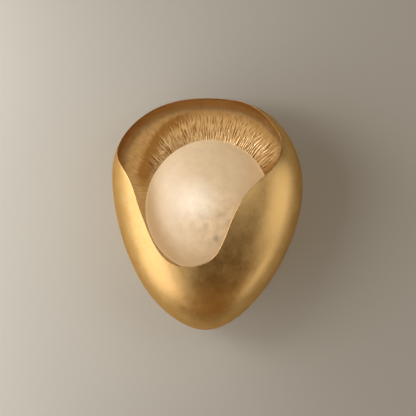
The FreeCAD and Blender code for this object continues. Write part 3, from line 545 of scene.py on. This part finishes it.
def glazed_and_shaded(tree, tone, glaze_and_shade):
    """A tone under a brown glaze, laid in the grooves and as painted shade where the carving_and_shade
    attribute says.
    """
    bare_and_shade = add(tree, "Attribute", attribute_name="carving_and_shade").outputs["Fac"]
    groove_and_shade = add(tree, "MapRange", {"Value": bare_and_shade, "From Min": GLAZE_AND_SHADE_SPAN[0], "From Max": GLAZE_AND_SHADE_SPAN[1]})
    return add(tree, "Mix", {
        0: groove_and_shade.outputs[0], 6: tone.outputs[2], 7: colour(glaze_and_shade),
    }, data_type="RGBA")


# Alabaster


def near_spot(tree, flat, spot):
    """A soft share: 1 at a spot of the globe's front and 0 from its radius on."""
    (across, up), radius = spot
    away = add(tree, "VectorMath", {0: flat, 1: (across * MM, 0.0, up * MM)}, operation="DISTANCE")
    return add(tree, "MapRange", {
        "Value": away.outputs["Value"], "From Max": radius * MM, "To Min": 1.0, "To Max": 0.0,
    }, interpolation_type="SMOOTHSTEP").outputs[0]


def stone_brightness(tree, place, flat):
    """How bright the lit stone is for its veils, its clouds and the grey inclusion."""
    veils = add(tree, "TexNoise", {
        "Vector": place, "Scale": scale_for(VEIL_SIZE), "Detail": 4.0, "Roughness": 0.6, "Distortion": 0.8,
    })
    clouds = add(tree, "TexNoise", {
        "Vector": place, "Scale": scale_for(CLOUD_SIZE), "Detail": 3.0, "Roughness": 0.5,
    })
    cloudy = add(tree, "MapRange", {
        "Value": near_spot(tree, flat, CLOUDY_SIDE),
        "To Min": CLOUD_STRENGTH[0], "To Max": CLOUD_STRENGTH[1],
    })
    mottle = add(tree, "Math", {0: clouds.outputs[0], 1: 0.5}, operation="SUBTRACT")
    mottle = add(tree, "Math", {0: mottle.outputs[0], 1: cloudy.outputs[0]}, operation="MULTIPLY")
    veiled = add(tree, "MapRange", {
        "Value": veils.outputs[0], "From Min": 0.25, "From Max": 0.75,
        "To Min": VEIL_STRENGTH[0], "To Max": VEIL_STRENGTH[1],
    })
    mottled = add(tree, "Math", {0: veiled.outputs[0], 1: mottle.outputs[0]}, operation="ADD")
    return add(tree, "Math", {
        0: near_spot(tree, flat, INCLUSION), 1: INCLUSION_DARK, 2: mottled.outputs[0],
    }, operation="MULTIPLY_ADD").outputs[0]


def stone_glow(tree, place, flat):
    """Colour of the light through the stone: a pale heart, partly a painted highlight, amber round it, and
    an even flank.
    """
    front = add(tree, "Mix", {
        0: near_spot(tree, flat, GLOW_HEART_AND_HIGHLIGHT), 6: colour("#AD906A"), 7: colour("#D2C0A8"),
    }, data_type="RGBA")
    flank = add(tree, "MapRange", {
        "Value": add(tree, "SeparateXYZ", {0: place}).outputs["Y"],
        "From Min": -FLANK_DEPTHS[0] * MM, "From Max": -FLANK_DEPTHS[1] * MM,
    }, interpolation_type="SMOOTHSTEP")
    return add(tree, "Mix", {
        0: flank.outputs[0], 6: front.outputs[2], 7: colour("#D5C7AB"),
    }, data_type="RGBA").outputs[2]


def alabaster():
    """Alabaster turned, honed and lit from within.

    It gives the eye a waxy, softly shining stone that glows: a bright heart a little left of the lamp,
    partly a painted highlight of the key lamp, clouds low on the right, faint veils all over and one grey
    inclusion.
    """
    made, tree, shader = new_material("honed_alabaster", {
        "Roughness": 0.42, "IOR": 1.53, "Emission Strength": 1.0,
    })
    place = add(tree, "TexCoord").outputs["Object"]
    flat = add(tree, "VectorMath", {0: place, 1: (1.0, 0.0, 1.0)}, operation="MULTIPLY").outputs[0]
    brightness = stone_brightness(tree, place, flat)
    glow = stone_glow(tree, place, flat)
    lit = add(tree, "VectorMath", {0: glow, "Scale": brightness}, operation="SCALE")
    tree.links.new(lit.outputs[0], shader.inputs["Emission Color"])
    stone = add(tree, "VectorMath", {0: colour("#BCAD94")[:3], "Scale": brightness}, operation="SCALE")
    tree.links.new(stone.outputs[0], shader.inputs["Base Color"])
    return made


# Finishes of the fittings


def plain_finish(name, tone, roughness, metallic=0.0, transmission=0.0, patch=2.0, grain=0.02):
    """A finish with slightly darker, smoother patches of a given size and a faint grain, both in mm.

    The real grain of plating, paint, glaze and moulded plastic is too fine to show, so it is drawn as
    wide as the patches.
    """
    made, tree, shader = new_material(name, {"Metallic": metallic, "Transmission Weight": transmission})
    place = add(tree, "TexCoord").outputs["Object"]
    marks = add(tree, "TexNoise", {"Vector": place, "Scale": scale_for(patch), "Detail": 3.0})
    light = colour(tone)
    dark = [channel * PATCH_SHADE for channel in light[:3]] + [1.0]
    shade = add(tree, "Mix", {0: marks.outputs[0], 6: dark, 7: light}, data_type="RGBA")
    tree.links.new(shade.outputs[2], shader.inputs["Base Color"])
    rough = add(tree, "MapRange", {
        "Value": marks.outputs[0], "To Min": roughness - SMOOTHER, "To Max": roughness + ROUGHER,
    })
    tree.links.new(rough.outputs[0], shader.inputs["Roughness"])
    bump = add(tree, "Bump", {"Height": marks.outputs[0], "Distance": grain * MM, "Strength": 1.0})
    tree.links.new(bump.outputs[0], shader.inputs["Normal"])
    return made


# Leaf on the smooth outside: deep gold with a soft sheen
LEAF = gold_leaf("satin_gold_leaf", ("#D9AB64", "#E8C27E"), (0.33, 0.45), 0.14, 2.2)
# Leaf on the carved inside: paler and shinier crests over brown grooves, and brown painted shade
CARVED = gold_leaf("carved_gold_leaf", ("#E6C38C", "#F5DDB2"), (0.28, 0.38), 0.08, 1.1, glaze_and_shade="#A2763C")
ALABASTER = alabaster()
# Sprayed metallic paint on the spun pan: the leaf's gold, but flat and even
GOLD_PAINT = plain_finish("satin_gold_paint", "#C89A56", 0.42, metallic=0.9)
# Zinc plating on rolled or turned steel: cool light grey with slow, cloudy patches
ZINC = plain_finish("zinc_plated_steel", "#C4C6C8", 0.33, metallic=1.0, patch=6)
# The green dip of an earth screw: a clear green film over metal
GREEN = plain_finish("green_passivated_steel", "#4F9A5E", 0.35, metallic=0.8)
# Brass off the lathe: bright yellow with a close, clean sheen
BRASS = plain_finish("turned_brass", "#D8B464", 0.3, metallic=1.0)
# Aluminium off the lathe: near white metal, softly shining
ALLOY = plain_finish("machined_aluminium", "#D5D6D7", 0.36, metallic=1.0)
# Nylon from a mould: creamy white, half matt
NYLON = plain_finish("moulded_nylon", "#E8E4D8", 0.45)
# Glazed steatite of lamp holders: warm white with a glassy shine
CERAMIC = plain_finish("glazed_steatite", "#EDE7DA", 0.22)
# Baked enamel on the reflector: clean white gloss
ENAMEL = plain_finish("white_enamel", "#F2F0EA", 0.25)
# Cast silicone ring: dull, slightly grey rubber
SILICONE = plain_finish("cast_silicone", "#CFCBC2", 0.6)
# Phosphor coating over the light source: flat, powdery yellow
PHOSPHOR = plain_finish("phosphor_strip", "#F0CC6A", 0.6)
# Blown borosilicate glass of the bulb: clear, with sharp glints
GLASS = plain_finish("borosilicate_glass", "#F4F7F7", 0.05, transmission=1.0)

FINISHES = {
    "wall_bracket": ZINC, "ground_washer": ZINC, "ground_screw": GREEN, "side_screw_left": BRASS,
    "side_screw_right": BRASS, "back_pan": GOLD_PAINT, "wire_bush": NYLON, "terminal_block": NYLON,
    "terminal_screws": BRASS, "globe_seat": ALLOY, "seat_screws": ZINC, "seat_washers": ZINC,
    "seat_nuts": ZINC, "socket_bridge": ZINC, "bridge_screws": ZINC, "bridge_nuts": ZINC,
    "lamp_socket": CERAMIC, "socket_contacts": BRASS, "reflector": ENAMEL, "socket_screws": ZINC,
    "globe": ALABASTER, "globe_collar": ALLOY, "globe_cushion": SILICONE, "bulb_base": CERAMIC,
    "bulb_pins": ZINC, "bulb_core": PHOSPHOR, "bulb_envelope": GLASS,
}


def dress_nodes():
    """Give each CAD node that stays visible its finish."""
    for name, finish in FINISHES.items():
        mesh = NODES[name].data
        mesh.materials.clear()
        mesh.materials.append(finish)


# Stage, lights and camera


def wall_paint():
    """Matt wall paint, seen through from behind and by rays that meet it within WALL_CLEAR.

    The bracket lies right on the wall, which would otherwise shut it in the dark.
    """
    made, tree, shader = new_material("painted_wall", {"Base Color": colour("#CFCBBC"), "Roughness": 0.85})
    length = add(tree, "LightPath").outputs["Ray Length"]
    near = add(tree, "Math", {0: length, 1: WALL_CLEAR}, operation="LESS_THAN")
    behind = add(tree, "NewGeometry").outputs["Backfacing"]
    clear = add(tree, "Math", {0: near.outputs[0], 1: behind}, operation="MAXIMUM")
    open_side = add(tree, "BsdfTransparent")
    mixed = add(tree, "MixShader", {0: clear.outputs[0], 1: shader.outputs[0], 2: open_side.outputs[0]})
    tree.links.new(mixed.outputs[0], tree.nodes["Material Output"].inputs["Surface"])
    return made


def make_wall():
    """The pale wall behind the sconce, which faces the room."""
    model = bmesh.new()
    bmesh.ops.create_grid(model, x_segments=1, y_segments=1, size=WALL_HALF)
    for corner in model.verts:
        corner.co = (corner.co.x, 0.0, corner.co.y)
    wall = finish_piece("backdrop_wall", model, [wall_paint()], smooth=False)
    if wall.data.polygons[0].normal.y > 0:
        wall.data.flip_normals()


def make_panel(name, centre, target, width, height, radiance, tint=WHITE):
    """A soft rectangular light of a given brightness."""
    lamp = bpy.data.lights.new(name, "AREA")
    lamp.shape = "RECTANGLE"
    lamp.size = width
    lamp.size_y = height
    lamp.energy = radiance * math.pi * width * height
    lamp.color = colour(tint)[:3]
    panel = bpy.data.objects.new(name, lamp)
    panel.location = centre
    panel.rotation_mode = "QUATERNION"
    panel.rotation_quaternion = (Vector(target) - Vector(centre)).to_track_quat("-Z", "Y")
    panel.visible_camera = False
    bpy.context.scene.collection.objects.link(panel)


def around_room(azimuth, elevation):
    """A lamp's place in the room at an azimuth (right is positive) and elevation in degrees."""
    turn, rise = math.radians(azimuth), math.radians(elevation)
    out = Vector((math.sin(turn) * math.cos(rise), -math.cos(turn) * math.cos(rise), math.sin(rise)))
    return Vector(MIDDLE) + out * LAMP_DISTANCE


def light_wall():
    """Two soft lamps close on the left, which graze the wall and the shell's left side."""
    make_panel(
        "left_high", (*LEFT_LAMPS, 0.25), (*LEFT_AIMS, 0.15), width=0.5, height=0.36, radiance=3.05,
        tint=DAYLIGHT,
    )
    make_panel(
        "left_low", (*LEFT_LAMPS, -0.28), (*LEFT_AIMS, -0.17), width=0.5, height=0.7, radiance=1.85,
        tint=DAYLIGHT,
    )


def light_shell():
    """Soft lamps round the room: the key from the left, and weaker ones that shape the right side."""
    make_panel(
        "left_front", around_room(-44, -25), MIDDLE, width=0.6, height=0.8, radiance=0.78, tint=DAYLIGHT,
    )
    make_panel("key", around_room(-40, 8), MIDDLE, width=0.62, height=0.36, radiance=4.2)
    make_panel("right_front", around_room(21, 12), MIDDLE, width=0.55, height=0.6, radiance=1.3)
    make_panel("right_side", around_room(72, -3), MIDDLE, width=1.05, height=0.95, radiance=1.1)
    make_panel("right_low", around_room(92, -38), MIDDLE, width=0.45, height=0.5, radiance=1.5)


def make_world():
    """The room round the sconce: dim and warm, over a lighter wooden floor."""
    world = bpy.data.worlds.new("room")
    world.use_nodes = True
    tree = world.node_tree
    upward = add(tree, "SeparateXYZ", {0: add(tree, "TexCoord").outputs["Generated"]}).outputs["Z"]
    height = add(tree, "MapRange", {
        "Value": upward, "From Min": ROOM_FADE[0], "From Max": ROOM_FADE[1],
    }, interpolation_type="SMOOTHSTEP")
    tone = add(tree, "Mix", {
        0: height.outputs[0], 6: colour(ROOM_LOW), 7: colour(ROOM_HIGH),
    }, data_type="RGBA")
    tree.links.new(tone.outputs[2], tree.nodes["Background"].inputs["Color"])
    bpy.context.scene.world = world


def make_camera():
    """A long lens straight in front of the wall, a little below the lamp axis."""
    data = bpy.data.cameras.new("view")
    data.lens = LENS
    data.sensor_width = SENSOR_WIDTH
    camera = bpy.data.objects.new("view", data)
    camera.location = (0, -CAMERA_DISTANCE, CAMERA_UP)
    camera.rotation_euler = (math.pi / 2, 0, 0)
    bpy.context.scene.collection.objects.link(camera)
    bpy.context.scene.camera = camera


make_world()
make_wall()
light_wall()
light_shell()
make_camera()

dress_nodes()
shell = make_shell(LEAF, CARVED)
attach(shell, "fixture")
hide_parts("shell")

bpy.context.scene.view_settings.view_transform = "Standard"
